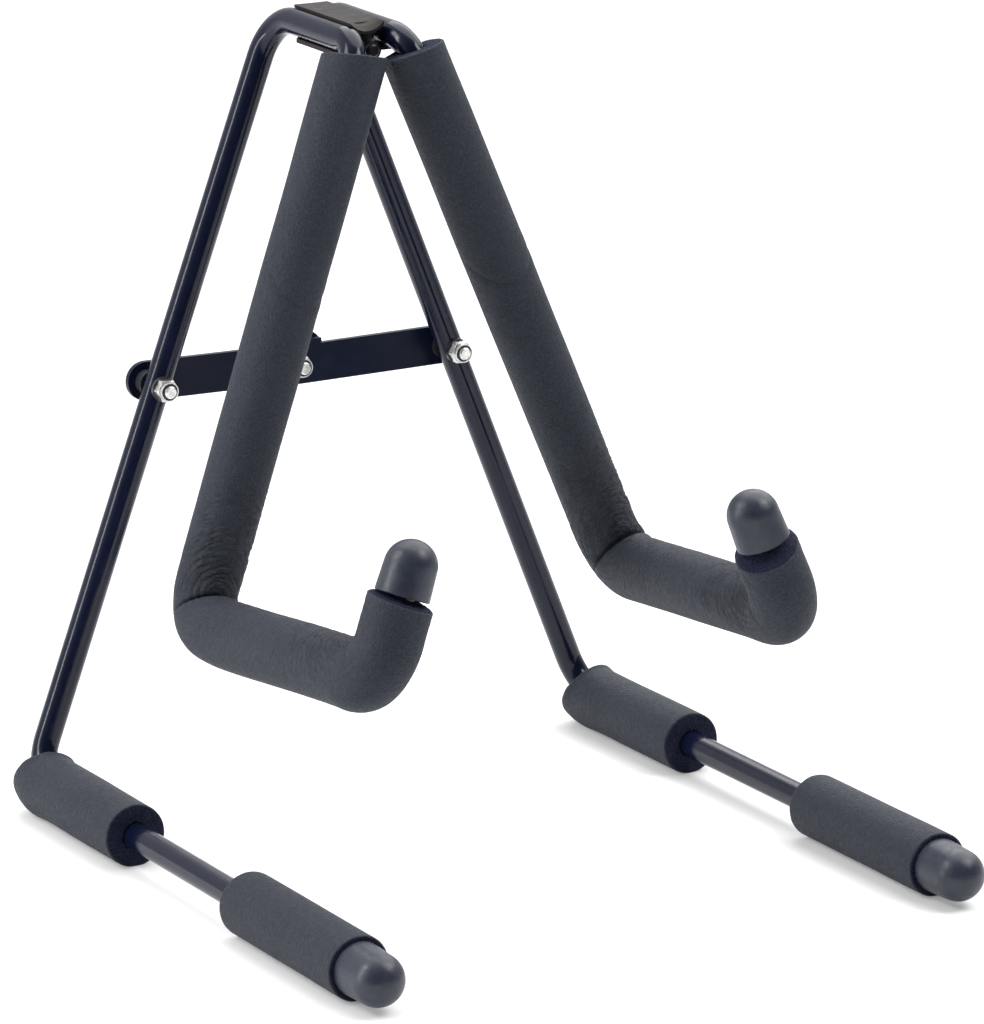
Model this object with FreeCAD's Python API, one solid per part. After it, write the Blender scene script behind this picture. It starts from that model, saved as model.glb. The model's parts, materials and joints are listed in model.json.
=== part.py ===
import FreeCAD, Part
import math
import os
from FreeCAD import Vector

# Folding A-frame instrument stand. Millimetres, +Z up, floor at z = 0.
# The front of the stand faces -Y and the hinge bolt lies along Y in the plane x = 0.
# Each side is one bent tube in a plane that leans outwards: foot, rear leg, top, arm, cradle and hook.

# ---- driving dimensions -------------------------------------------------------------------------
tube_radius = 6.35
tube_wall = 1.2
lean = math.radians(21.16)
half_top_spacing = 12.98
tube_top_z = 368.1
foot_z = 14.7
shift_y = 133.5

# In-plane corner points of the left and right tubes: (y, distance down the leaning plane).
foot_run = (tube_top_z - foot_z) / math.cos(lean)
foot_tip = (-316.0, foot_run)
foot_corner = (31.0, foot_run)
top_rear = (42.6, 0.0)
top_front = (-42.6, 0.0)
arm_bottom = (-67.9, 277.9)
cradle_front = (-233.7, 262.0)
hook_tip = (-229.4, 203.0)
bend_radius = 20.0
top_front_bend = 15.0

# Foam sleeves, pushed over the tubes.
arm_foam_radius = 15.4
foot_foam_radius = 15.1
foam_bore = tube_radius + 0.15
arm_foam_rise = 8.0
hook_foam_end = 223.4
foot_foam_rear_end = -75.5
foot_foam_bend_turn = math.radians(46.0)
foot_foam_front_start = -187.5
foot_foam_front_end = -294.0

# Rubber caps on the tube ends, tapered and domed.
cap_radius = 12.75
cap_dome_radius = 12.2
cap_skirt = 16.8
cap_bore_depth = 23.5
hook_cap_shorter = 2.8
cap_shoulder = 0.5

# Hinge at the top.
hinge_z = 362.0
fold_limit = math.radians(34.0)
bolt_radius = 3.0
running_gap = 0.07
body_gap = 0.3
sheet = 2.0
plate_left = -11.5
plate_right = 6.1
plate_dip_x = -3.2
plate_nest = 0.35
plate_thickness = 1.6
# How far the top plate dips between the tubes, as (y, dip) from its back edge to its front lip.
plate_dips = [(24.0, 0.05), (-14.0, 0.3), (-23.0, 1.1), (-28.5, 2.5), (-32.5, 4.2)]
ear_radius = 6.6
left_ear_front = -25.0
left_ear_rear = 20.0
flange_front = -27.5
flange_back = 17.0
flange_outer = 16.2
flange_inner = 7.2
flange_corner = 4.0
stem_left = -5.4
stem_right = 4.6
stem_overlap = 0.4

# Brace: two flat bars behind the rear legs.
brace_down = 184.5
bar_height = 19.0
bar_thickness = 3.0
bar_over_centre = 1.0
right_bar_front = 45.4
stop_radius = 18.0
stop_edge = 8.0
stop_lip_start = 6.4
stop_lip_end = 13.0
stop_lip_thickness = 2.4
washer_radius = 6.0
washer_thickness = 1.2
washer_seat = 0.6
spacer_seat = 0.4

# M6 fasteners.
nut_flats = 10.0
nut_height = 6.0
insert_radius = 4.1
head_height = 4.0
bolt_stand_out = 1.6
bolt_chamfer = 0.6
collar_height = 1.6
ear_thickness = 2.0

TINY = 0.01


# ---- the leaning plane --------------------------------------------------------------------------
def on_plane(point):
    """A point (y, down) in the plane frame, where the tube's plane is x = 0 and its top is z = 0."""
    return Vector(0, point[0], -point[1])


def lean_out(shape, side):
    """Move a shape from the plane frame to the right side (+1) or the left side (-1)."""
    placed = shape.copy()
    placed.rotate(Vector(0, 0, 0), Vector(0, 1, 0), -math.degrees(lean))
    placed.translate(Vector(half_top_spacing, 0, tube_top_z))
    if side < 0:
        placed = placed.mirror(Vector(0, 0, 0), Vector(1, 0, 0))
    return placed


def rounded_path(corners, radii):
    """Edges of a path with straight runs and tangent arcs at its inner corners."""
    points = [on_plane(corner) for corner in corners]
    edges = []
    start = points[0]
    for index in range(1, len(points) - 1):
        before = (points[index - 1] - points[index]).normalize()
        after = (points[index + 1] - points[index]).normalize()
        half_turn = before.getAngle(after) / 2
        reach = radii[index - 1] / math.tan(half_turn)
        arc_start = points[index] + before * reach
        arc_end = points[index] + after * reach
        inwards = (before + after).normalize()
        depth = radii[index - 1] / math.sin(half_turn) - radii[index - 1]
        middle = points[index] + inwards * depth
        edges.append(Part.LineSegment(start, arc_start).toShape())
        edges.append(Part.Arc(arc_start, middle, arc_end).toShape())
        start = arc_end
    edges.append(Part.LineSegment(start, points[-1]).toShape())
    return edges


def swept(edges, radius):
    """A round bar of the given radius along the path."""
    wire = Part.Wire(edges)
    first = edges[0]
    start = first.valueAt(first.FirstParameter)
    direction = first.tangentAt(first.FirstParameter)
    ring = Part.Wire([Part.makeCircle(radius, start, direction)])
    return wire.makePipeShell([ring], True, False)


def trimmed(edge, low, high):
    """The part of an edge between two shares of its length."""
    span = edge.LastParameter - edge.FirstParameter
    return edge.Curve.toShape(edge.FirstParameter + low * span, edge.FirstParameter + high * span)


tube_corners = [foot_tip, foot_corner, top_rear, top_front, arm_bottom, cradle_front, hook_tip]
tube_radii = [bend_radius, bend_radius, top_front_bend, bend_radius, bend_radius]
tube_edges = rounded_path(tube_corners, tube_radii)
FOOT, FOOT_BEND, LEG, REAR_BEND, TOP, FRONT_BEND, ARM, ARM_BEND, CRADLE, CRADLE_BEND, HOOK = tube_edges


def cylinder_y(radius, y_from, y_to, x=0.0, z=0.0):
    return Part.makeCylinder(radius, y_to - y_from, Vector(x, y_from, z), Vector(0, 1, 0))


def box(low, high):
    return Part.makeBox(high[0] - low[0], high[1] - low[1], high[2] - low[2], Vector(*low))


# ---- tubes, foam and caps -----------------------------------------------------------------------
def frame_tube(side):
    outer = swept(tube_edges, tube_radius)
    inner = swept(tube_edges, tube_radius - tube_wall)
    tube = lean_out(outer.cut(inner), side)
    x, y, z = brace_pivot(side)
    return tube.cut(cylinder_y(bolt_radius + 0.1, y - 12, y + 12, x, z))


def foam_between(edges, radius, side, floor=False):
    """A foam sleeve along a path; one that stands on the floor is pressed flat under itself."""
    sleeve = lean_out(swept(edges, radius), side)
    if floor:
        sleeve = sleeve.common(box((-400, -600, 0), (400, 400, 100)))
    return sleeve.cut(lean_out(swept(tube_edges, foam_bore), side))


def outside_fold_plane(side):
    """The space on one side of the plane where the two arm sleeves meet when the stand is folded."""
    space = box((body_gap / 2, -600, -600), (600, 400, 100))
    space.rotate(Vector(0, 0, 0), Vector(0, 1, 0), -math.degrees(fold_limit) / 2)
    space.translate(Vector(0, 0, hinge_z))
    return space if side > 0 else space.mirror(Vector(0, 0, 0), Vector(1, 0, 0))


def arm_foam(side):
    """The long sleeve. Its top end stays straight where the tube inside it starts to bend."""
    arm_top = ARM.valueAt(ARM.FirstParameter)
    upwards = ARM.tangentAt(ARM.FirstParameter) * -arm_foam_rise
    start = Part.LineSegment(arm_top + upwards, arm_top).toShape()
    hook_start = -HOOK.Vertexes[0].Point.z
    end = trimmed(HOOK, 0.0, (hook_start - hook_foam_end) / (hook_start - hook_tip[1]))
    sleeve = foam_between([start, ARM, ARM_BEND, CRADLE, CRADLE_BEND, end], arm_foam_radius, side)
    return sleeve.common(outside_fold_plane(side))


def level_run(y_from, y_to):
    return Part.LineSegment(on_plane((y_from, foot_run)), on_plane((y_to, foot_run))).toShape()


def foot_foam_rear(side):
    turn = FOOT_BEND.Length / bend_radius
    bend = trimmed(FOOT_BEND, 0.0, foot_foam_bend_turn / turn)
    run = level_run(foot_foam_rear_end, FOOT_BEND.Vertexes[0].Point.y)
    return foam_between([run, bend], foot_foam_radius, side, floor=True)


def foot_foam_front(side):
    run = level_run(foot_foam_front_end, foot_foam_front_start)
    return foam_between([run], foot_foam_radius, side, floor=True)


def cap(shorter):
    """A cap along +Z from its open face at z = 0, with a blind bore for the tube."""
    dome_centre = cap_skirt - shorter
    bore_depth = cap_bore_depth - shorter
    outline = [
        Part.LineSegment(Vector(foam_bore, 0, 0), Vector(cap_radius - cap_shoulder, 0, 0)),
        Part.LineSegment(Vector(cap_radius - cap_shoulder, 0, 0), Vector(cap_radius, 0, cap_shoulder)),
        Part.LineSegment(Vector(cap_radius, 0, cap_shoulder), Vector(cap_dome_radius, 0, dome_centre)),
        Part.Arc(
            Vector(cap_dome_radius, 0, dome_centre),
            Vector(cap_dome_radius * math.sqrt(0.5), 0, dome_centre + cap_dome_radius * math.sqrt(0.5)),
            Vector(0, 0, dome_centre + cap_dome_radius),
        ),
        Part.LineSegment(Vector(0, 0, dome_centre + cap_dome_radius), Vector(0, 0, bore_depth)),
        Part.LineSegment(Vector(0, 0, bore_depth), Vector(foam_bore, 0, bore_depth)),
        Part.LineSegment(Vector(foam_bore, 0, bore_depth), Vector(foam_bore, 0, 0)),
    ]
    face = Part.Face(Part.Wire([curve.toShape() for curve in outline]))
    return face.revolve(Vector(0, 0, 0), Vector(0, 0, 1), 360)


def cap_on(point, direction, side, shorter=0.0):
    placed = cap(shorter)
    turn = FreeCAD.Rotation(Vector(0, 0, 1), direction)
    placed.Placement = FreeCAD.Placement(on_plane(point), turn)
    return lean_out(placed, side)


def foot_cap(side):
    return cap_on((foot_foam_front_end - TINY, foot_run), Vector(0, -1, 0), side)


def hook_cap(side):
    along = (on_plane(hook_tip) - on_plane(cradle_front)).normalize()
    share = (cradle_front[1] - hook_foam_end) / (cradle_front[1] - hook_tip[1])
    y = cradle_front[0] + share * (hook_tip[0] - cradle_front[0])
    return cap_on((y, hook_foam_end - TINY), along, side, hook_cap_shorter)


# ---- fasteners along Y --------------------------------------------------------------------------
def hexagon(y_from, height, x, z):
    """A hexagonal prism along +Y with its corners to the left and right."""
    corner = nut_flats / math.sqrt(3)
    angles = [math.radians(60 * k) for k in range(7)]
    ring = [Vector(x + corner * math.cos(a), y_from, z + corner * math.sin(a)) for a in angles]
    return Part.Face(Part.makePolygon(ring)).extrude(Vector(0, height, 0))


def cone_y(radius_from, radius_to, y_from, y_to, x, z):
    return Part.makeCone(radius_from, radius_to, y_to - y_from, Vector(x, y_from, z), Vector(0, 1, 0))


def nut(y_front, x, z):
    """A locking nut: a round insert collar in front of a hexagon with chamfered corners."""
    start = y_front + collar_height
    rounding = cone_y(nut_flats / 2, nut_flats / 2 + nut_height, start, start + nut_height, x, z)
    body = hexagon(y_front + collar_height, nut_height - collar_height, x, z).common(rounding)
    body = body.fuse(cylinder_y(nut_flats / 2 - 0.4, y_front, y_front + collar_height + 0.5, x, z))
    body = body.cut(cylinder_y(insert_radius, y_front - 1, y_front + collar_height, x, z))
    return body.cut(cylinder_y(bolt_radius, y_front - 1, y_front + nut_height + 1, x, z))


def nut_insert(y_front, x, z):
    ring = cylinder_y(insert_radius, y_front + 0.2, y_front + collar_height, x, z)
    return ring.cut(cylinder_y(bolt_radius, y_front - 1, y_front + nut_height, x, z))


def shank(y_end, y_head, x, z):
    """A bolt's round shank with a chamfered end in front."""
    tip = cone_y(bolt_radius - bolt_chamfer, bolt_radius, y_end, y_end + bolt_chamfer, x, z)
    return tip.fuse(cylinder_y(bolt_radius, y_end + bolt_chamfer, y_head, x, z)).removeSplitter()


def head(y_from, x, z):
    rounding = cone_y(nut_flats / 2 + head_height, nut_flats / 2, y_from - 0.3, y_from + head_height, x, z)
    return hexagon(y_from, head_height, x, z).common(rounding)


def bolt(y_end, y_head, x, z):
    return shank(y_end, y_head, x, z).fuse(head(y_head, x, z))


def washer(y_from, y_to, x, z):
    ring = cylinder_y(washer_radius, y_from, y_to, x, z)
    return ring.cut(cylinder_y(bolt_radius + running_gap, y_from - 1, y_to + 1, x, z))


# ---- hinge at the top ---------------------------------------------------------------------------
def plate_section(y, dip):
    """The top plate's outline across at y: its long sides are arcs that dip in the middle."""
    top = tube_top_z + tube_radius - plate_nest + plate_thickness
    bottom = top - plate_thickness
    upper_left, upper_right = Vector(plate_left, y, top), Vector(plate_right, y, top)
    lower_left, lower_right = Vector(plate_left, y, bottom), Vector(plate_right, y, bottom)
    edges = [
        Part.Arc(upper_left, Vector(plate_dip_x, y, top - dip), upper_right),
        Part.LineSegment(upper_right, lower_right),
        Part.Arc(lower_right, Vector(plate_dip_x, y, bottom - dip), lower_left),
        Part.LineSegment(lower_left, upper_left),
    ]
    return Part.Wire([edge.toShape() for edge in edges])


def top_plate():
    """The sheet on the left tube, over the hinge: flat at the back, with a dipped front lip."""
    plate = Part.makeLoft([plate_section(y, dip) for y, dip in plate_dips], True, True)
    return plate.cut(cylinder_y(tube_radius, -60, 60, -half_top_spacing, tube_top_z))


def flange(side):
    """A plate welded under one tube, with chamfered outer corners."""
    top = tube_top_z - tube_radius
    outer = side * flange_outer
    inner = side * flange_inner
    cut_x = outer - side * flange_corner
    ring = [
        Vector(inner, flange_front, top),
        Vector(cut_x, flange_front, top),
        Vector(outer, flange_front + flange_corner, top),
        Vector(outer, flange_back - flange_corner, top),
        Vector(cut_x, flange_back, top),
        Vector(inner, flange_back, top),
        Vector(inner, flange_front, top),
    ]
    return Part.Face(Part.makePolygon(ring)).extrude(Vector(0, 0, -sheet))


def ear(side, y_from, plate):
    """One ear of a hinge bracket, from y_from towards +Y; a plate's ear has a stem up to the plate."""
    y_to = y_from + ear_thickness
    under_tube = tube_top_z - tube_radius
    under_plate = tube_top_z + tube_radius - plate_nest
    near, far = sorted((0.0, side * (flange_outer - flange_corner - 0.5)))
    shape = cylinder_y(ear_radius, y_from, y_to, 0, hinge_z)
    shape = shape.fuse(box((near, y_from, under_tube - sheet), (far, y_to, under_tube)))
    if plate:
        shape = shape.fuse(box((stem_left, y_from, hinge_z), (stem_right, y_to, under_plate + stem_overlap)))
    return shape.cut(cylinder_y(bolt_radius + running_gap, y_from - 1, y_to + 1, 0, hinge_z))


def weld_bead():
    """The weld between the top plate and the left tube."""
    top = tube_top_z + tube_radius
    bead = box((plate_left + 0.6, -20.0, top - 1.4), (plate_left + 3.4, 20.0, top - plate_nest + 0.2))
    return bead.cut(cylinder_y(tube_radius, -25, 25, -half_top_spacing, tube_top_z))


def hinge_bracket_left():
    plate = top_plate()
    shape = plate.fuse(weld_bead())
    for y_from in (left_ear_front, left_ear_rear - ear_thickness):
        shape = shape.fuse(ear(-1, y_from, True))
    shape = shape.fuse(flange(-1))
    return shape.removeSplitter()


def hinge_bracket_right():
    front = left_ear_front + ear_thickness + body_gap
    rear = left_ear_rear - 2 * ear_thickness - body_gap
    plate = flange(1)
    keep = box((0, front, 0), (100, rear + ear_thickness, 500))
    shape = plate.common(keep)
    for y_from in (front, rear):
        shape = shape.fuse(ear(1, y_from, False))
    return shape.removeSplitter()


def hinge_nut_front():
    return left_ear_front - washer_thickness - nut_height


# ---- brace --------------------------------------------------------------------------------------
def leg_y():
    """Y of the rear leg's centre line at the brace bolts."""
    share = brace_down / foot_run
    return top_rear[0] + share * (foot_corner[0] - top_rear[0])


def brace_pivot(side):
    x = side * (half_top_spacing + brace_down * math.sin(lean))
    return x, leg_y(), tube_top_z - brace_down * math.cos(lean)


def brace_centre_z():
    return brace_pivot(1)[2] - bar_over_centre


def bar_front(side):
    """Y of a bar's front face: the left bar passes behind the right one."""
    return right_bar_front + (bar_thickness + body_gap if side < 0 else 0)


def brace_bar(side):
    x, _, z = brace_pivot(side)
    length = math.hypot(x, bar_over_centre)
    half = bar_height / 2
    front = bar_front(side)
    flat = box((0, front, -half), (length, front + bar_thickness, half))
    bar = flat.fuse(cylinder_y(half, front, front + bar_thickness))
    bar = bar.fuse(cylinder_y(half, front, front + bar_thickness, length))
    if side < 0:
        bar = bar.fuse(stop_tab(length, front))
    bar = bar.removeSplitter()
    bar = bar.cut(cylinder_y(bolt_radius + running_gap, front - 9, front + 9))
    bar = bar.cut(cylinder_y(bolt_radius + TINY, front - 9, front + 9, length))
    slope = math.degrees(math.asin(bar_over_centre / length))
    if side > 0:
        bar = bar.mirror(Vector(0, 0, 0), Vector(1, 0, 0))
        slope = -slope
    bar.rotate(Vector(0, 0, 0), Vector(0, 1, 0), slope)
    bar.translate(Vector(x, 0, z))
    return bar


def stop_tab(length, front):
    """A rounded ear above the centre pivot, with a lip bent forward over the right bar's top edge."""
    disc = cylinder_y(stop_radius, front, front + bar_thickness, length)
    above_bar = box(
        (length - stop_edge, front, bar_height / 2 - 1),
        (length + stop_radius, front + bar_thickness, stop_radius),
    )
    lip_bottom = bar_height / 2 + 1.5 * body_gap
    lip = box(
        (length + stop_lip_start, front - bar_thickness - body_gap, lip_bottom),
        (length + stop_lip_end, front, lip_bottom + stop_lip_thickness),
    )
    return disc.common(above_bar).fuse(lip)


def brace_spacer(side):
    x, y, z = brace_pivot(side)
    ring = washer(y + tube_radius - spacer_seat, bar_front(side) - body_gap, x, z)
    return ring.cut(swept_leg(side))


def brace_washer(side):
    x, y, z = brace_pivot(side)
    ring = washer(y - tube_radius - washer_thickness, y - tube_radius + washer_seat, x, z)
    return ring.cut(swept_leg(side))


def swept_leg(side):
    return lean_out(swept([LEG], tube_radius), side)


def brace_nut_front(side):
    return brace_pivot(side)[1] - tube_radius - washer_thickness - nut_height


def brace_bolt(side):
    x, _, z = brace_pivot(side)
    head_y = bar_front(side) + bar_thickness + body_gap
    return bolt(brace_nut_front(side) - bolt_stand_out, head_y, x, z)


def centre_nut_front():
    return right_bar_front - washer_thickness - nut_height


def centre_bolt_head_half():
    """The head and the shank inside the left bar only, up to the shear plane between the bars."""
    z = brace_centre_z()
    front = bar_front(-1)
    stub = cylinder_y(bolt_radius, front, front + bar_thickness, 0, z)
    return stub.fuse(head(front + bar_thickness, 0, z))


def centre_bolt_end_half():
    """The threaded end of the same bolt, inside the right bar, its washer and its nut."""
    return shank(centre_nut_front() - bolt_stand_out, right_bar_front + bar_thickness, 0, brace_centre_z())


# ---- write the parts ----------------------------------------------------------------------------
def build():
    nodes = {
        "hinge_bracket_left": hinge_bracket_left(),
        "hinge_bracket_right": hinge_bracket_right(),
        "hinge_bolt": bolt(hinge_nut_front() - bolt_stand_out, left_ear_rear, 0, hinge_z),
        "hinge_washer": washer(left_ear_front - washer_thickness, left_ear_front, 0, hinge_z),
        "hinge_nut": nut(hinge_nut_front(), 0, hinge_z),
        "hinge_nut_insert": nut_insert(hinge_nut_front(), 0, hinge_z),
        "centre_bolt_head": centre_bolt_head_half(),
        "centre_bolt_end": centre_bolt_end_half(),
        "centre_washer": washer(right_bar_front - washer_thickness, right_bar_front, 0, brace_centre_z()),
        "centre_nut": nut(centre_nut_front(), 0, brace_centre_z()),
        "centre_nut_insert": nut_insert(centre_nut_front(), 0, brace_centre_z()),
    }
    for side, name in ((-1, "left"), (1, "right")):
        x, _, z = brace_pivot(side)
        nodes["frame_tube_" + name] = frame_tube(side)
        nodes["arm_foam_" + name] = arm_foam(side)
        nodes["foot_foam_rear_" + name] = foot_foam_rear(side)
        nodes["foot_foam_front_" + name] = foot_foam_front(side)
        nodes["foot_cap_" + name] = foot_cap(side)
        nodes["hook_cap_" + name] = hook_cap(side)
        nodes["brace_bar_" + name] = brace_bar(side)
        nodes["brace_bolt_" + name] = brace_bolt(side)
        nodes["brace_spacer_" + name] = brace_spacer(side)
        nodes["brace_washer_" + name] = brace_washer(side)
        nodes["brace_nut_" + name] = nut(brace_nut_front(side), x, z)
        nodes["brace_nut_insert_" + name] = nut_insert(brace_nut_front(side), x, z)
    return nodes


os.makedirs("parts", exist_ok=True)
for node_name, node_shape in build().items():
    node_shape.translate(Vector(0, shift_y, 0))
    node_shape.exportStep("parts/" + node_name + ".step")
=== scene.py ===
import json
import math
import bmesh
import bpy
from mathutils import Matrix, Vector, noise


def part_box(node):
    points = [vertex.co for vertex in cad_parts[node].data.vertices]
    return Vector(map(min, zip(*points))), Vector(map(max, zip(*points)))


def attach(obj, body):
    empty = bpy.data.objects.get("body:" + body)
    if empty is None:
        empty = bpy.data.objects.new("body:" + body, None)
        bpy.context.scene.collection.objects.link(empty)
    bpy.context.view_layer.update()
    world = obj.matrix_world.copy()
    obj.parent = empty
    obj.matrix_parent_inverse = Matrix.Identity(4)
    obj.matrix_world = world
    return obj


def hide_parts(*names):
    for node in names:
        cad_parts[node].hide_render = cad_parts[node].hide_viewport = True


# Folding instrument stand. Metres, +Z up, the front of the stand faces -Y.
# The tubes, caps, bars, brackets and fasteners are the CAD's. This file makes the foam sleeves that
# take the place of the CAD's plain ones, every material, the floor, the light and the camera.

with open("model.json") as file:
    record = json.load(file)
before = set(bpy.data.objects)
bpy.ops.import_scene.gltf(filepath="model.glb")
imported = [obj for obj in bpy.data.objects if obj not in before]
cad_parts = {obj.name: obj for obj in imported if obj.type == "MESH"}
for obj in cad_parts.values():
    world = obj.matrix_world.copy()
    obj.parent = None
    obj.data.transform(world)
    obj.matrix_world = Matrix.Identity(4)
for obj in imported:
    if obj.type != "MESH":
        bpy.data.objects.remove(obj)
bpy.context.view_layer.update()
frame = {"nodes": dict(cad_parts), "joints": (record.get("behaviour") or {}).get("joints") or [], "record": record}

MM = 0.001

# ---- the tube's path, worked out from the frame's own boxes ---------------------------------------
tube_low, tube_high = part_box("frame_tube_right")
TUBE_RADIUS = 6.35 * MM
LEAN = math.radians(21.16)
TOP_Z = tube_high.z - TUBE_RADIUS
FOOT_Z = tube_low.z + TUBE_RADIUS
FOOT_X = tube_high.x - TUBE_RADIUS
FOOT_RUN = (TOP_Z - FOOT_Z) / math.cos(LEAN)
HALF_TOP_SPACING = FOOT_X - FOOT_RUN * math.sin(LEAN)
FOOT_TIP_Y = tube_low.y

# Corner points of one side in its leaning plane: (y from the foot tip, distance down from the top).
CORNERS = {
    "foot_tip": (0.0, FOOT_RUN),
    "foot_corner": (347.0 * MM, FOOT_RUN),
    "top_rear": (358.6 * MM, 0.0),
    "top_front": (273.4 * MM, 0.0),
    "arm_bottom": (248.1 * MM, 277.9 * MM),
    "cradle_front": (82.3 * MM, 262.0 * MM),
    "hook_tip": (86.6 * MM, 203.0 * MM),
}
BEND = 20.0 * MM
FRONT_BEND = 15.0 * MM
CORNER_BENDS = [BEND, BEND, FRONT_BEND, BEND, BEND]


# ---- paths in the leaning plane -------------------------------------------------------------------
class Path:
    """Straight runs joined by tangent arcs, measured by the distance along it."""

    def __init__(self, corners, bends):
        points = [Vector(corner) for corner in corners]
        self.runs = []
        self.bends = []
        self.length = 0.0
        start = points[0]
        for index, radius in enumerate(bends):
            corner = points[index + 1]
            before = (points[index] - corner).normalized()
            after = (points[index + 2] - corner).normalized()
            half = before.angle(after) / 2
            arc_start = corner + before * (radius / math.tan(half))
            arc_end = corner + after * (radius / math.tan(half))
            centre = corner + (before + after).normalized() * (radius / math.sin(half))
            self.add_line(start, arc_start)
            self.add_arc(arc_start, centre, radius, math.pi - 2 * half, -before)
            start = arc_end
        self.add_line(start, points[-1])

    def add_line(self, start, end):
        run = end - start
        self.runs.append((self.length, start, run.normalized(), None))
        self.length += run.length

    def add_arc(self, start, centre, radius, turn, heading):
        side = 1.0 if (centre - start).dot(Vector((-heading.y, heading.x))) > 0 else -1.0
        self.runs.append((self.length, start, heading, (centre, radius, side)))
        self.bends.append({"from": self.length, "turn": turn, "radius": radius, "side": side,
                           "middle": self.length + radius * turn / 2, "to": self.length + radius * turn})
        self.length += radius * turn

    def at(self, distance):
        """(point, heading) at a distance along the path."""
        run = [r for r in self.runs if r[0] <= distance + 1e-9][-1]
        begin, start, heading, arc = run
        if arc is None:
            return start + heading * (distance - begin), heading
        centre, radius, side = arc
        turn = Matrix.Rotation(side * (distance - begin) / radius, 2)
        return centre + turn @ (start - centre), turn @ heading


path = Path(list(CORNERS.values()), CORNER_BENDS)
FOOT_BEND, _, TOP_BEND, ARM_BEND, HOOK_BEND = path.bends


def place(point, side):
    """A point of the leaning plane in the row frame, for the right side (+1) or the left (-1)."""
    x = HALF_TOP_SPACING + point.y * math.sin(LEAN)
    return Vector((side * x, FOOT_TIP_Y + point.x, TOP_Z - point.y * math.cos(LEAN)))


def direction(flat, side):
    """A direction of the leaning plane in the row frame."""
    return Vector((side * flat.y * math.sin(LEAN), flat.x, -flat.y * math.cos(LEAN)))


# ---- foam sleeves ---------------------------------------------------------------------------------
# Sizes. An arm sleeve starts ARM_RISE before the end of the top bend and ends HOOK_FOAM_DOWN below
# the top; a rear foot sleeve ends where the tube has turned by FOOT_REAR_TURN.
ARM_RADIUS = 15.45 * MM
FOOT_RADIUS = 15.1 * MM
BORE = TUBE_RADIUS + 0.15 * MM
ARM_RISE = 8.0 * MM
HOOK_FOAM_DOWN = 223.4 * MM
FOOT_REAR_TURN = math.radians(44)
MEETING_GAP = 0.15 * MM

# The rounding of each end's rim, first the end nearer the foot's tip along the path.
ARM_ROUNDING = (0.9 * MM, 0.7 * MM)
FOOT_FRONT_ROUNDING = (0.8 * MM, 3.6 * MM)
FOOT_REAR_ROUNDING = (0.8 * MM, 5.0 * MM)

# Where in the noise each kind of sleeve starts, so that no two are uneven in the same way.
ARM_SEED = 3.0
FOOT_FRONT_SEED = 21.0
FOOT_REAR_SEED = 33.0

# The mesh: points in a ring, and the distance between rows, finer near the creased bends.
RING = 116
FINE_STEP = 0.36 * MM
COARSE_STEP = 1.6 * MM
BORE_STEP = 2.0 * MM
FINE_REACH = 66.0 * MM
CUT_ROWS = 14
RIM_STEPS = 7

# The ends: how rough the cut face is and how ragged its edge, and how far along the sleeve a
# slanted cut still shifts the skin.
CELL = 1.0 * MM
CUT_ROUGHNESS = 0.35 * MM
RAGGED_EDGE = 0.35 * MM
RAGGED_WAVES = 3
SLANT_REACH = 24.0 * MM

# The skin: slow unevenness, how gently the cradle's thicker foam begins, and how long a stretch of
# each bend is thicker or thinner.
UNEVENNESS = 0.25 * MM
UNEVEN_LENGTH = 38 * MM
UNEVEN_ROUND = 0.8
CRADLE_EASE = 8 * MM
OUTSIDE_LENGTH = 17 * MM
OUTSIDE_POWER = 1.5

# Each crease is a groove with a low ridge on both sides; wrinkles fade out away from it and over
# the outside of the bend.
DEEPEST_GROOVE = 1.5 * MM
GROOVE_WIDTH = 0.8 * MM
RIDGE_SHARE = 0.3
RIDGE_PLACE = 3.2 * MM
RIDGE_WIDTH = 2.2 * MM
WRINKLE_REACH = 50.0 * MM
WRINKLE_DEPTH = 0.95 * MM
WRINKLE_START = 5 * MM
OUTSIDE_WRINKLES = 0.12
FINE_FOLD = 1.4 * MM
BROAD_FOLD = 2.8 * MM
FOLD_PATCH = 11 * MM
FOLD_LINE = 0.2

# Where round the sleeve the groove and the wrinkles begin and are full, from -1 at the outside of
# the bend to 1 at the inside.
GROOVE_ROUND = (-0.55, 0.5)
WRINKLE_ROUND = (-0.75, 0.3)

# A cut that is square to the sleeve.
LEVEL = (0.0, 0.0, 0.0, 0.0)

# How each inner corner is creased: groove depth, and wrinkle strength before and after the bend.
CREASES = (
    (ARM_BEND, DEEPEST_GROOVE, 1.0, 0.5),
    (HOOK_BEND, 0.5 * MM, 0.95, 0.6),
)

# How each sleeve is cut and shaped. A cut is its slope towards the inside of the path, its slope
# outwards, how far the end is moved along the path, and how far its face rises towards the tube.
# The rest is how much thicker the foam is along the cradle and outside each bend.
ARM_SHAPES = {
    "left": {
        "start": (-0.09, 0.16, 0.0, 0.0),
        "end": (0.14, -0.01, -2.3 * MM, 2.6 * MM),
        "cradle": 0.70 * MM,
        "outside": ((HOOK_BEND, 1.5 * MM), (ARM_BEND, -2.6 * MM)),
    },
    "right": {
        "start": (-0.10, 0.09, 0.0, 0.0),
        "end": (0.27, 0.14, -4.0 * MM, 4.6 * MM),
        "cradle": 0.30 * MM,
        "outside": ((HOOK_BEND, 1.4 * MM), (ARM_BEND, 0.4 * MM)),
    },
}
FOOT_FRONT_SHAPE = {"start": LEVEL, "end": LEVEL, "cradle": 0.0, "outside": ()}
FOOT_REAR_SHAPE = {
    "start": LEVEL,
    "end": (-0.04, 0.0, 0.0, 0.0),
    "cradle": 0.0,
    "outside": ((FOOT_BEND, 1.9 * MM),),
}


def smooth(low, high, value):
    """A gentle step from 0 at low to 1 at high."""
    share = min(1.0, max(0.0, (value - low) / (high - low)))
    return share * share * (3 - 2 * share)


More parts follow.
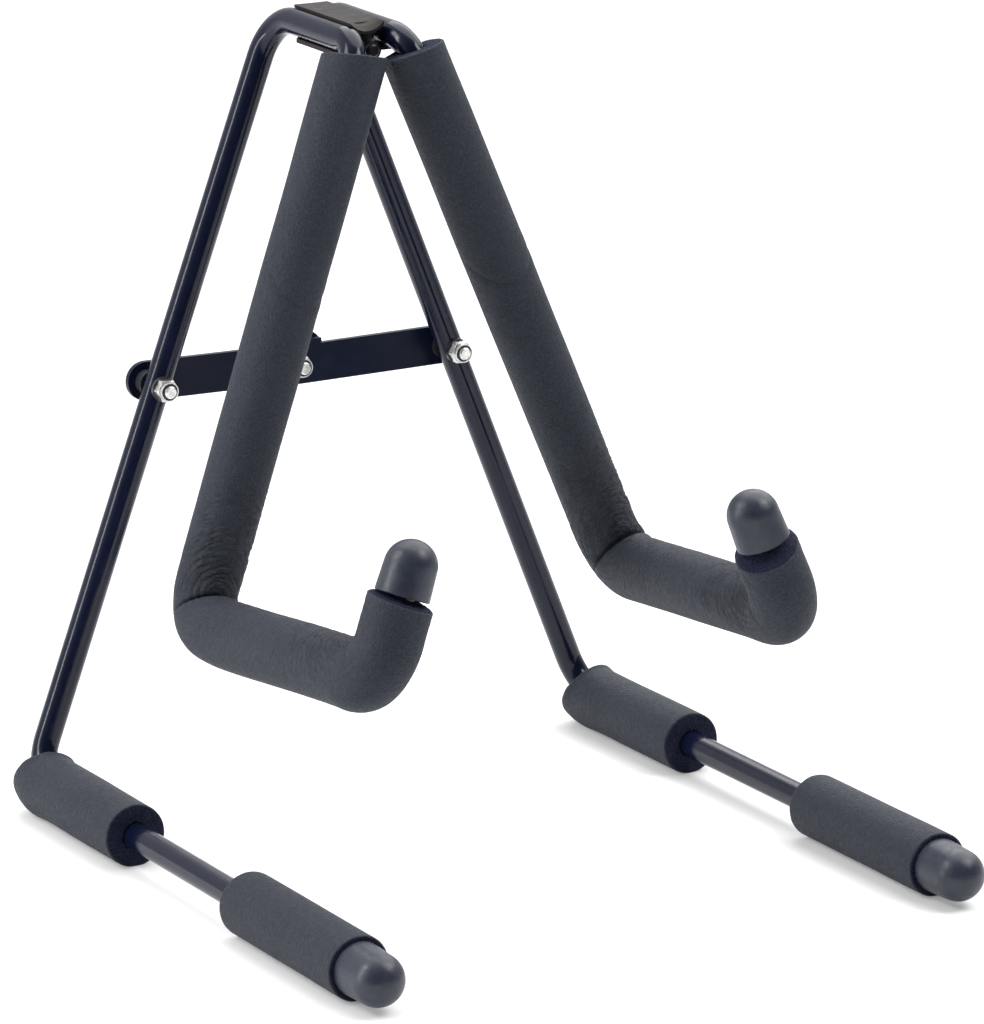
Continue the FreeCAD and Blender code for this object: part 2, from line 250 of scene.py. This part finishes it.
def hump(value, middle, width):
    """1 at the middle, fading to 0 on both sides."""
    return math.exp(-(((value - middle) / width) ** 2))


def inner_corner(bend, radius):
    """Where the skin lines meet at the inside of a bend, and the path's direction at its middle."""
    middle, heading = path.at(bend["middle"])
    inwards = Vector((-heading.y, heading.x)) * bend["side"]
    centre = middle + inwards * bend["radius"]
    return centre - inwards * (bend["radius"] - radius) / math.cos(bend["turn"] / 2), heading


def pulled_in(bend, distance, inner, radius):
    """How far the skin draws in so that the inside of a bend is a corner."""
    bent = abs(distance - bend["middle"]) / bend["radius"]
    half = bend["turn"] / 2
    if bent > half:
        return 0.0
    return (bend["radius"] - radius) * (1 / math.cos(half - bent) - 1) * inner ** 2


def wrinkle(reach, angle, seed):
    """Fine crossed folds in arcs round the inner corner, as a depth that is mostly from 0 to 1."""
    fine = noise.noise(Vector((reach / FINE_FOLD, angle * 2.6, seed)))
    broad = noise.noise(Vector((reach / BROAD_FOLD, angle * 1.5, seed + 7.0)))
    patch = 0.75 + 0.8 * noise.noise(Vector((reach / FOLD_PATCH, angle * 1.6, seed + 19.0)))
    return patch * (0.6 * hump(fine, 0.0, FOLD_LINE) + 0.6 * hump(broad, 0.0, FOLD_LINE))


class Sleeve:
    """The measures of one foam sleeve; distances are along the tube's path from the foot's tip."""

    def __init__(self, side, start, end, radius, seed, rounding, shape, is_arm=False):
        self.side = side
        self.start = start
        self.end = end
        self.radius = radius
        self.seed = seed
        self.rounding = rounding
        self.shape = shape
        self.is_arm = is_arm

    def line(self, distance):
        """(point, heading) on the sleeve's own centre line: an arm's top end stays straight."""
        if not self.is_arm or distance > TOP_BEND["to"]:
            return path.at(distance)
        just_past_bend = TOP_BEND["to"] + 1e-6
        point, heading = path.at(just_past_bend)
        return point + heading * (distance - TOP_BEND["to"]), heading

    def thickened(self, distance, angle):
        """How much the foam is thicker than its stock size."""
        cradle = smooth(-CRADLE_EASE, CRADLE_EASE, distance - ARM_BEND["middle"])
        cradle *= smooth(-CRADLE_EASE, CRADLE_EASE, HOOK_BEND["middle"] - distance)
        result = self.shape["cradle"] * cradle
        for bend, amount in self.shape["outside"]:
            outside = max(0.0, -math.cos(angle) * bend["side"])
            result += amount * outside ** OUTSIDE_POWER * hump(distance, bend["middle"], OUTSIDE_LENGTH)
        return result

    def skin(self, distance, angle):
        """(the skin's distance from the centre line, how deep in a fold it is from 0 to 1)."""
        around = Vector((math.cos(angle), math.sin(angle), 0.0))
        slow = noise.noise(around * UNEVEN_ROUND + Vector((0.0, self.seed, distance / UNEVEN_LENGTH)))
        result = self.radius + UNEVENNESS * slow + self.thickened(distance, angle)
        if not self.is_arm:
            return result, 0.0
        folded = 0.0
        point, heading = self.line(distance)
        flat = point + Vector((-heading.y, heading.x)) * math.cos(angle) * self.radius
        sideways = math.sin(angle) * self.radius
        for bend, groove, before, after in CREASES:
            corner, middle_heading = inner_corner(bend, self.radius)
            inwards = math.cos(angle) * bend["side"]
            run = (flat - corner).dot(middle_heading)
            reach = math.hypot((flat - corner).length, sideways)
            facing = smooth(*GROOVE_ROUND, inwards)
            result -= pulled_in(bend, distance, max(0.0, inwards), self.radius)
            line = hump(run, 0.0, GROOVE_WIDTH) * facing
            ridge = RIDGE_SHARE * hump(abs(run), RIDGE_PLACE, RIDGE_WIDTH) * facing
            result -= groove * (line - ridge)
            strength = before if run < 0 else after
            fade = hump(reach, 0.0, WRINKLE_REACH) * smooth(0.0, WRINKLE_START, reach)
            inside = smooth(*WRINKLE_ROUND, inwards)
            weight = strength * fade * (OUTSIDE_WRINKLES + (1 - OUTSIDE_WRINKLES) * inside)
            depth = weight * wrinkle(reach, angle, self.seed)
            result -= WRINKLE_DEPTH * depth
            folded = max(folded, depth, line * groove / DEEPEST_GROOVE)
        return result, min(1.0, folded)

    def slid(self, part, distance, angle, reach):
        """How far the slanted, ragged cuts move a point along the sleeve."""
        around = Vector((math.cos(angle), math.sin(angle))) * RAGGED_WAVES
        result = 0.0
        for edge, cut in ((self.start, self.shape["start"]), (self.end, self.shape["end"])):
            slope_in, slope_out, shift, rise = cut
            near = smooth(0.0, 1.0, 1 - abs(distance - edge) / SLANT_REACH)
            slope = slope_in * math.cos(angle) + slope_out * math.sin(angle)
            tear = noise.noise(Vector((*around, self.seed + edge)))
            result += near * (shift + reach * slope + RAGGED_EDGE * tear)
            if part == "cut":
                result += near * rise * (self.radius - reach) / (self.radius - BORE)
        return result

    def ring(self, row):
        """The points of one row, and how folded the skin is at each."""
        part, distance, size = row
        point, heading = self.line(distance)
        centre = place(point, self.side)
        along = direction(heading, self.side)
        inwards = direction(Vector((-heading.y, heading.x)), self.side)
        across = Vector((self.side * math.cos(LEAN), 0.0, math.sin(LEAN)))
        points = []
        for k in range(RING):
            angle = 2 * math.pi * k / RING
            if part == "skin":
                reach, folded = self.skin(distance, angle)
                reach -= size
            else:
                reach, folded = size, 0.0
            spot = centre + (inwards * math.cos(angle) + across * math.sin(angle)) * reach
            spot += along * self.slid(part, distance, angle, reach)
            if part == "cut":
                spot += along * CUT_ROUGHNESS * noise.noise(spot / CELL)
            points.append((spot, folded))
        return points

    def rows(self):
        """One closed section: (part, distance, drop below the skin), or the radius off the skin."""
        front, rear = self.rounding
        rows = [("skin", *row) for row in rim(self.start, 1, front)]
        rows += [("skin", distance, 0.0) for distance in self.skin_distances()]
        rows += [("skin", *row) for row in reversed(rim(self.end, -1, rear))]
        rows += cut_rows(self.end, self.radius - rear, BORE)
        count = round((self.end - self.start) / BORE_STEP)
        rows += [("bore", self.end + (self.start - self.end) * k / count, BORE) for k in range(count + 1)]
        rows += cut_rows(self.start, BORE, self.radius - front)
        return rows

    def skin_distances(self):
        """Where the skin's rows lie: close together where it is wrinkled."""
        distance = self.start + self.rounding[0]
        last = self.end - self.rounding[1] - 0.5 * FINE_STEP
        bends = (ARM_BEND["middle"], HOOK_BEND["middle"])
        places = []
        while distance < last:
            places.append(distance)
            near = self.is_arm and any(abs(distance - middle) < FINE_REACH for middle in bends)
            distance += FINE_STEP if near else COARSE_STEP
        return places[1:]


def rim(edge, inwards, rounding):
    """Rows over a rounded rim, from its cut face to its skin: (distance, drop below the skin)."""
    rows = []
    for k in range(RIM_STEPS + 1):
        turn = math.pi / 2 * k / RIM_STEPS
        rows.append((edge + inwards * rounding * (1 - math.cos(turn)), rounding * (1 - math.sin(turn))))
    return rows


def cut_rows(distance, first, last):
    """Rows over a cut face, from one radius to another."""
    return [("cut", distance, first + (last - first) * k / CUT_ROWS) for k in range(1, CUT_ROWS)]


def add_object(name, data):
    """A new object in the scene with this mesh, light or camera."""
    result = bpy.data.objects.new(name, data)
    bpy.context.scene.collection.objects.link(result)
    return result


def build_sleeve(name, sleeve):
    """A mesh of skin, rounded rims, rough cut faces and bore, with its folds as an attribute."""
    rows = sleeve.rows()
    shape = bmesh.new()
    # How deep each point lies in a fold; the skin material paints shade from this.
    fold_layer = shape.verts.layers.float.new("folded")
    rings = []
    for row in rows:
        ring = []
        for spot, folded in sleeve.ring(row):
            vertex = shape.verts.new(spot)
            vertex[fold_layer] = folded
            ring.append(vertex)
        rings.append(ring)
    for index, ring in enumerate(rings):
        after = rings[(index + 1) % len(rings)]
        is_skin = rows[index][0] == "skin" and rows[(index + 1) % len(rows)][0] == "skin"
        for k in range(RING):
            next_k = (k + 1) % RING
            face = shape.faces.new((ring[k], ring[next_k], after[next_k], after[k]))
            face.smooth = True
            face.material_index = 0 if is_skin else 1
    bmesh.ops.recalc_face_normals(shape, faces=shape.faces)
    mesh = bpy.data.meshes.new(name)
    shape.to_mesh(mesh)
    shape.free()
    piece = add_object(name, mesh)
    mesh.materials.append(foam_skin)
    mesh.materials.append(foam_cut)
    return piece


def keep_off_floor(piece):
    """The foam is pressed flat where it stands."""
    for vertex in piece.data.vertices:
        vertex.co.z = max(vertex.co.z, 0.0)


def keep_off_other_arm(piece, side):
    """A shallow flat where the two arm sleeves meet when the stand is folded."""
    fold = next(joint for joint in frame["joints"] if joint["name"] == "fold")
    half_fold = math.radians(fold["range_deg"][1]) / 2
    normal = Vector((side * math.cos(half_fold), 0.0, math.sin(half_fold)))
    hinge = Vector(fold["pos_m"])
    for vertex in piece.data.vertices:
        depth = MEETING_GAP - (vertex.co - hinge).dot(normal)
        if depth > 0:
            vertex.co += normal * depth


def declare_foam(piece, node, side_name):
    """Hides the CAD node that the sleeve takes the place of, and sets which body it rides on."""
    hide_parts(node)
    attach(piece, side_name + "_frame")


def arm_sleeve(side, side_name):
    """The long sleeve over the arm, the cradle and the hook."""
    straight = HOOK_BEND["to"] + MM
    point, heading = path.at(straight)
    start = TOP_BEND["to"] - ARM_RISE
    end = straight + (point.y - HOOK_FOAM_DOWN) / -heading.y
    shape = ARM_SHAPES[side_name]
    sleeve = Sleeve(side, start, end, ARM_RADIUS, ARM_SEED + side, ARM_ROUNDING, shape, is_arm=True)
    piece = build_sleeve("arm_sleeve_" + side_name, sleeve)
    keep_off_other_arm(piece, side)
    declare_foam(piece, "arm_foam_" + side_name, side_name)


def foot_sleeve(node, side, side_name, end, seed, rounding, shape):
    """A short sleeve on the foot, cut square in front and drawn in round the tube at the rear."""
    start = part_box(node)[0].y - FOOT_TIP_Y
    sleeve = Sleeve(side, start, end, FOOT_RADIUS, seed + side, rounding, shape)
    piece = build_sleeve(node.replace("foam", "sleeve"), sleeve)
    keep_off_floor(piece)
    declare_foam(piece, node, side_name)


def front_foot_sleeve(side, side_name):
    node = "foot_foam_front_" + side_name
    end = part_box(node)[1].y - FOOT_TIP_Y
    foot_sleeve(node, side, side_name, end, FOOT_FRONT_SEED, FOOT_FRONT_ROUNDING, FOOT_FRONT_SHAPE)


def rear_foot_sleeve(side, side_name):
    node = "foot_foam_rear_" + side_name
    end = FOOT_BEND["from"] + FOOT_BEND["radius"] * FOOT_REAR_TURN
    foot_sleeve(node, side, side_name, end, FOOT_REAR_SEED, FOOT_REAR_ROUNDING, FOOT_REAR_SHAPE)


def make_sleeves():
    for side, side_name in ((-1, "left"), (1, "right")):
        arm_sleeve(side, side_name)
        front_foot_sleeve(side, side_name)
        rear_foot_sleeve(side, side_name)


# ---- materials ------------------------------------------------------------------------------------
class Surface:
    """A material with its node tree, and short ways to add what a finish needs."""

    def __init__(self, name):
        self.material = bpy.data.materials.new(name)
        self.material.use_nodes = True
        self.nodes = self.material.node_tree.nodes
        self.links = self.material.node_tree.links
        self.shader = self.nodes["Principled BSDF"]
        self.place = self.nodes.new("ShaderNodeTexCoord").outputs["Object"]

    def noise(self, size, detail=3.0, roughness=0.5, stretch=None):
        """Noise whose features are about this size in metres."""
        node = self.nodes.new("ShaderNodeTexNoise")
        node.inputs["Scale"].default_value = 1 / size
        node.inputs["Detail"].default_value = detail
        node.inputs["Roughness"].default_value = roughness
        self.links.new(self.stretched(stretch), node.inputs["Vector"])
        return node.outputs["Fac"]

    def stretched(self, stretch):
        """The place on the object, stretched by three factors if there are any."""
        if stretch is None:
            return self.place
        node = self.nodes.new("ShaderNodeMapping")
        node.inputs["Scale"].default_value = stretch
        self.links.new(self.place, node.inputs["Vector"])
        return node.outputs["Vector"]

    def cells(self, size):
        """Distance from the middle of cells of about this size."""
        node = self.nodes.new("ShaderNodeTexVoronoi")
        node.inputs["Scale"].default_value = 1 / size
        self.links.new(self.place, node.inputs["Vector"])
        return node.outputs["Distance"]

    def attribute(self, name):
        """A value that the mesh carries at each point."""
        node = self.nodes.new("ShaderNodeAttribute")
        node.attribute_name = name
        return node.outputs["Fac"]

    def ramp(self, value, stops):
        """Values or colours at places along a 0 to 1 value."""
        node = self.nodes.new("ShaderNodeValToRGB")
        elements = node.color_ramp.elements
        while len(elements) < len(stops):
            elements.new(0.5)
        for element, (position, colour) in zip(elements, stops):
            element.position = position
            element.color = (*colour, 1.0) if isinstance(colour, tuple) else (colour, colour, colour, 1.0)
        self.links.new(value, node.inputs["Fac"])
        return node.outputs["Color"]

    def mix(self, share, first, second):
        """Blend two colours by a share that varies over the surface."""
        node = self.nodes.new("ShaderNodeMix")
        node.data_type = "RGBA"
        self.links.new(share, node.inputs["Factor"])
        self.links.new(first, node.inputs["A"])
        self.links.new(second, node.inputs["B"])
        return node.outputs["Result"]

    def sharp_edges(self, radius):
        """The normal of edges rounded by this much."""
        node = self.nodes.new("ShaderNodeBevel")
        node.samples = 4
        node.inputs["Radius"].default_value = radius
        return node.outputs["Normal"]

    def bump(self, height, depth, normal=None):
        """Relief of this depth in metres, over another normal if there is one."""
        node = self.nodes.new("ShaderNodeBump")
        node.inputs["Distance"].default_value = depth
        self.links.new(height, node.inputs["Height"])
        if normal is not None:
            self.links.new(normal, node.inputs["Normal"])
        return node.outputs["Normal"]

    def finish(self, colour, roughness, normal, **sockets):
        """Links the shader, and sets the sockets that stay constant."""
        self.links.new(colour, self.shader.inputs["Base Color"])
        self.links.new(roughness, self.shader.inputs["Roughness"])
        self.links.new(normal, self.shader.inputs["Normal"])
        for name, value in sockets.items():
            self.shader.inputs[name.replace("_", " ")].default_value = value
        return self.material


def foam_skin_material():
    """Fine-pebbled skin of closed-cell foam: blue charcoal and matte, with painted shade that darkens it down in
    its folds.
    """
    surface = Surface("foam_skin")
    broad = surface.noise(32 * MM, 4.0)
    tone = surface.ramp(broad, ((0.35, (0.0155, 0.019, 0.030)), (0.65, (0.020, 0.024, 0.037))))
    dots = surface.noise(0.8 * MM, 2.0)
    speckle = surface.ramp(dots, ((0.38, (0.008, 0.011, 0.019)), (0.66, (0.030, 0.035, 0.049))))
    share = surface.ramp(surface.noise(6 * MM, 3.0), ((0.3, 0.35), (0.7, 0.75)))
    skin = surface.mix(share, tone, speckle)
    # Painted shade: down in the folds and grooves the skin's colour is mixed towards near black, where shade
    # falls.
    folds = surface.ramp(surface.attribute("folded"), ((0.05, 0.0), (0.9, 0.85)))
    dark = surface.ramp(broad, ((0.3, (0.006, 0.007, 0.012)), (0.7, (0.008, 0.009, 0.014))))
    roughness = surface.ramp(surface.noise(2.2 * MM, 4.0), ((0.3, 0.56), (0.7, 0.72)))
    pebble = surface.bump(surface.cells(0.9 * MM), 0.26 * MM)
    grain = surface.bump(surface.noise(0.5 * MM, 3.0), 0.18 * MM, pebble)
    drift = surface.bump(surface.noise(7 * MM, 3.0), 0.3 * MM, grain)
    return surface.finish(surface.mix(folds, skin, dark), roughness, drift, Specular_IOR_Level=0.27)


def foam_cut_material():
    """Open cells on the cut faces: nearly black navy, with pits."""
    surface = Surface("foam_cut")
    cells = surface.cells(0.85 * MM)
    colour = surface.ramp(cells, ((0.05, (0.016, 0.022, 0.062)), (0.55, (0.003, 0.005, 0.023))))
    roughness = surface.ramp(surface.noise(1.0 * MM), ((0.3, 0.75), (0.7, 0.95)))
    pits = surface.bump(cells, 0.6 * MM)
    grain = surface.bump(surface.noise(0.4 * MM, 3.0), 0.25 * MM, pits)
    return surface.finish(colour, roughness, grain, Specular_IOR_Level=0.3)


def cap_rubber_material():
    """Moulded rubber: smooth, semi-gloss and blue-grey, with a faint bloom and mould mottling."""
    surface = Surface("cap_rubber")
    bloom = surface.noise(9 * MM, 5.0, 0.6)
    colour = surface.ramp(bloom, ((0.35, (0.012, 0.016, 0.030)), (0.7, (0.021, 0.026, 0.042))))
    roughness = surface.ramp(surface.noise(3 * MM, 4.0), ((0.3, 0.33), (0.7, 0.47)))
    mottle = surface.bump(surface.noise(2.4 * MM, 3.0), 0.10 * MM, surface.sharp_edges(0.4 * MM))
    grain = surface.bump(surface.noise(0.35 * MM, 2.0), 0.018 * MM, mottle)
    return surface.finish(colour, roughness, grain, Specular_IOR_Level=0.45)


def enamel_material(name, low, high, roughness, edge, specular):
    """Stoved enamel: two close tones, a faint orange peel and fine dust in its gloss."""
    surface = Surface(name)
    colour = surface.ramp(surface.noise(14 * MM, 4.0), ((0.35, low), (0.7, high)))
    wear = surface.noise(5 * MM, 5.0, 0.6)
    gloss = surface.ramp(wear, ((0.3, roughness - 0.04), (0.75, roughness + 0.08)))
    peel = surface.bump(surface.noise(2.6 * MM, 2.0), 0.035 * MM, surface.sharp_edges(edge))
    dust = surface.bump(surface.noise(0.5 * MM, 2.0), 0.006 * MM, peel)
    return surface.finish(colour, gloss, dust, Specular_IOR_Level=specular)


def zinc_material():
    """Bright zinc plate with fine tool marks."""
    surface = Surface("zinc")
    clouds = surface.noise(2.5 * MM, 4.0)
    colour = surface.ramp(clouds, ((0.3, (0.50, 0.50, 0.50)), (0.7, (0.82, 0.82, 0.80))))
    roughness = surface.ramp(surface.noise(0.8 * MM, 4.0), ((0.3, 0.22), (0.7, 0.42)))
    scratches = surface.noise(0.5 * MM, 4.0, 0.5, (1.0, 6.0, 1.0))
    marks = surface.bump(scratches, 0.03 * MM, surface.sharp_edges(0.25 * MM))
    return surface.finish(colour, roughness, marks, Metallic=1.0)


def nylon_material():
    """The dark friction ring in a locking nut."""
    surface = Surface("nylon")
    clouds = surface.noise(1.2 * MM)
    colour = surface.ramp(clouds, ((0.3, (0.02, 0.02, 0.024)), (0.7, (0.05, 0.05, 0.056))))
    roughness = surface.ramp(surface.noise(0.8 * MM), ((0.3, 0.5), (0.7, 0.7)))
    return surface.finish(colour, roughness, surface.bump(surface.noise(0.6 * MM), 0.03 * MM))


def floor_material():
    """A matte pale sheet, lifted a little so that it reads as white."""
    surface = Surface("pale_floor")
    colour = surface.ramp(surface.noise(0.5, 2.0), ((0.3, 0.74), (0.7, 0.76)))
    roughness = surface.ramp(surface.noise(0.3, 2.0), ((0.3, 0.85), (0.7, 0.95)))
    even = surface.bump(surface.noise(0.02, 2.0), 0.02 * MM)
    return surface.finish(
        colour, roughness, even,
        Specular_IOR_Level=0.1, Emission_Color=(1.0, 1.0, 1.0, 1.0), Emission_Strength=0.2,
    )


foam_skin = foam_skin_material()
foam_cut = foam_cut_material()

# Each enamel: its darker and lighter tone, its roughness, how round its edges look, and how
# strongly it mirrors.
ENAMELS = {
    "black_enamel": ((0.003, 0.005, 0.017), (0.005, 0.007, 0.023), 0.15, 0.2 * MM, 0.3),
    "satin_black": ((0.003, 0.006, 0.019), (0.005, 0.009, 0.026), 0.36, 0.2 * MM, 0.14),
    "bracket_enamel": ((0.018, 0.014, 0.014), (0.024, 0.019, 0.019), 0.52, 0.4 * MM, 0.14),
    "black_steel": ((0.010, 0.010, 0.013), (0.018, 0.018, 0.022), 0.30, 0.3 * MM, 0.5),
    "black_washer": ((0.016, 0.016, 0.022), (0.026, 0.026, 0.034), 0.32, 0.3 * MM, 0.5),
}

SLOT_MATERIALS = {name: enamel_material(name, *look) for name, look in ENAMELS.items()}
SLOT_MATERIALS["zinc"] = zinc_material()
SLOT_MATERIALS["nylon"] = nylon_material()
SLOT_MATERIALS["cap_rubber"] = cap_rubber_material()
SLOT_MATERIALS["foam"] = foam_skin


def paint_cad_nodes():
    """Each CAD node takes the finish of its material slot."""
    for subpart in frame["record"]["subparts"]:
        mesh = frame["nodes"][subpart["node"]].data
        mesh.materials.clear()
        mesh.materials.append(SLOT_MATERIALS[subpart["material_slot"]])


# ---- floor, light and camera ----------------------------------------------------------------------
def make_floor():
    half = 6.0
    corners = [(-half, -half, 0), (half, -half, 0), (half, half, 0), (-half, half, 0)]
    mesh = bpy.data.meshes.new("floor")
    mesh.from_pydata(corners, [], [(0, 1, 2, 3)])
    floor = add_object("floor", mesh)
    mesh.materials.append(floor_material())


def soft_box(name, towards, distance, width, height, power):
    """An area light in a direction from the stand, facing it."""
    middle = Vector((0, 0, TOP_Z / 2))
    light = bpy.data.lights.new(name, "AREA")
    light.shape = "RECTANGLE"
    light.size = width
    light.size_y = height
    light.energy = power
    lamp = add_object(name, light)
    lamp.location = middle + Vector(towards).normalized() * distance
    lamp.rotation_euler = Vector(towards).to_track_quat("Z", "Y").to_euler()


def make_world():
    """A bright room behind the stand, fading to a dim one in front of it."""
    world = bpy.data.worlds.new("studio")
    world.use_nodes = True
    nodes = world.node_tree.nodes
    links = world.node_tree.links
    outwards = nodes.new("ShaderNodeTexCoord").outputs["Generated"]
    front = (0.0, -1.0, 0.0)
    facing = nodes.new("ShaderNodeVectorMath")
    facing.operation = "DOT_PRODUCT"
    facing.inputs[1].default_value = front
    links.new(outwards, facing.inputs[0])
    ramp = nodes.new("ShaderNodeMapRange")
    ramp.interpolation_type = "SMOOTHSTEP"
    for name, value in (("From Min", -0.25), ("From Max", 0.75), ("To Min", 0.85), ("To Max", 0.08)):
        ramp.inputs[name].default_value = value
    links.new(facing.outputs["Value"], ramp.inputs["Value"])
    links.new(ramp.outputs["Result"], nodes["Background"].inputs["Strength"])
    nodes["Background"].inputs["Color"].default_value = (1.0, 1.0, 1.0, 1.0)
    bpy.context.scene.world = world


def sky_light(towards, strength, spread):
    """Even soft light over the whole floor, from a sun as wide as this many degrees."""
    light = bpy.data.lights.new("sky", "SUN")
    light.energy = strength
    light.angle = math.radians(spread)
    lamp = add_object("sky", light)
    lamp.rotation_euler = Vector(towards).to_track_quat("Z", "Y").to_euler()


def make_light():
    """Soft sky, a box to each side and a tall strip at the left for the bright lines on the tubes."""
    make_world()
    sky_light((0.50, 0.40, 1.0), 3.0, 75.0)
    soft_box("left_box", (-0.68, 0.26, 0.69), 1.7, 0.70, 0.70, 10.0)
    soft_box("right_box", (0.51, -0.41, 0.69), 1.7, 0.70, 0.70, 13.0)
    soft_box("left_strip", (-0.97, 0.23, 0.25), 1.5, 0.20, 1.5, 12.0)
    bpy.context.scene.view_settings.view_transform = "Standard"


def make_camera():
    """A long lens from the front left, a little above the stand."""
    aim = Vector((0.0337, 0.0479, 0.1480))
    azimuth = math.radians(-29.35)
    elevation = math.radians(14.92)
    distance = 3.163
    back = Vector((
        math.sin(azimuth) * math.cos(elevation),
        -math.cos(azimuth) * math.cos(elevation),
        math.sin(elevation),
    ))
    lens = bpy.data.cameras.new("camera")
    lens.lens = 237.2
    lens.sensor_width = 36.0
    camera = add_object("camera", lens)
    camera.location = aim + back * distance
    camera.rotation_euler = back.to_track_quat("Z", "Y").to_euler()
    bpy.context.scene.camera = camera


make_camera()
make_light()
make_floor()
paint_cad_nodes()
make_sleeves()
